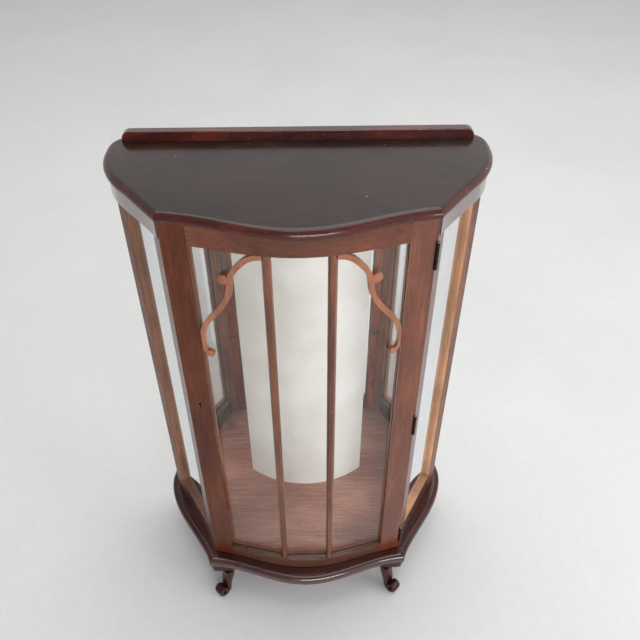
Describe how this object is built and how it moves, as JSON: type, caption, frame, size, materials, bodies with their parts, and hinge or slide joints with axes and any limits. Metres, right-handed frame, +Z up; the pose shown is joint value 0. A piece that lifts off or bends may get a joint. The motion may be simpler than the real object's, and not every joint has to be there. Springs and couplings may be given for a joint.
{
  "type": "china cabinet",
  "caption": "Bow-fronted glazed display cabinet on scroll feet: hinged three-pane door with fretted brackets, canted glass sides, moulded top and base, mirrored back.",
  "frame": {"origin": "on the floor, under the centre of the overall box", "axes": "+Z up, -Y towards the door, +X to the hinge side"},
  "size_m": [0.692, 0.33, 1.07],
  "materials": {
    "polished_mahogany": "glossy dark red french polish",
    "floor_veneer": "satin red-brown veneer",
    "light_timber": "unstained varnished slip",
    "plywood": "bare thin board",
    "softwood": "sawn",
    "cream_lining": "embossed cream cloth",
    "mirror": "silvered",
    "clear_glass": "clear polished",
    "aged_brass": "oxidised",
    "dark_steel": "dull",
    "peg_metal": "plated, dull"
  },
  "bodies": {
    "cabinet": {"back_battens": "softwood", "back_board": "plywood", "back_mirror_left": "mirror", "back_mirror_right": "mirror", "back_post_left": "polished_mahogany", "back_post_right": "polished_mahogany", "back_top_rail": "polished_mahogany", "base_back_rail": "polished_mahogany", "base_front_moulding": "polished_mahogany", "base_side_moulding_left": "polished_mahogany", "base_side_moulding_right": "polished_mahogany", "cabinet_floor": "floor_veneer", "centre_panel_board": "plywood", "centre_panel_formers": "softwood", "centre_panel_lining": "cream_lining", "door_stops": "polished_mahogany", "foot_block_left": "polished_mahogany", "foot_block_right": "polished_mahogany", "front_foot_left": "polished_mahogany", "front_foot_right": "polished_mahogany", "front_post_left": "polished_mahogany", "front_post_right": "polished_mahogany", "front_top_rail": "polished_mahogany", "gallery_rail": "polished_mahogany", "hinge_frame_leaves": "aged_brass", "hinge_frame_screws": "dark_steel", "hinge_pins": "aged_brass", "rear_foot_left": "polished_mahogany", "rear_foot_right": "polished_mahogany", "shelf_pegs": "peg_metal", "side_bottom_rail_left": "polished_mahogany", "side_bottom_rail_right": "polished_mahogany", "side_frieze_left": "polished_mahogany", "side_frieze_right": "polished_mahogany", "side_glass_left": "clear_glass", "side_glass_right": "clear_glass", "side_glazing_slips_left": "light_timber", "side_glazing_slips_right": "light_timber", "side_inner_beads": "light_timber", "side_top_rail_left": "polished_mahogany", "side_top_rail_right": "polished_mahogany", "strike_plate": "aged_brass", "top_board": "polished_mahogany"},
    "door": {"door_stile_left": "polished_mahogany", "door_stile_right": "polished_mahogany", "door_top_rail": "polished_mahogany", "door_bottom_rail": "polished_mahogany", "glazing_bar_left": "polished_mahogany", "glazing_bar_right": "polished_mahogany", "scroll_bracket_left": "polished_mahogany", "scroll_bracket_right": "polished_mahogany", "door_glass_left": "clear_glass", "door_glass_centre": "clear_glass", "door_glass_right": "clear_glass", "door_beads": "light_timber", "hinge_door_leaves": "aged_brass", "hinge_door_screws": "dark_steel", "lock_case": "aged_brass", "keyhole_lining": "aged_brass"},
    "lock_bolt_body": {"lock_bolt": "dark_steel"}
  },
  "joints": [
    {"name": "door_hinge", "type": "hinge", "parent": "cabinet", "child": "door", "pos_m": [0.21606, -0.08624, 0.58], "axis": [0, 0, 1], "range_deg": [0, 105]},
    {"name": "lock_bolt_slide", "type": "slide", "parent": "door", "child": "lock_bolt_body", "axis": [-1, 0, 0], "range_m": [0, 0.006]}
  ]
}
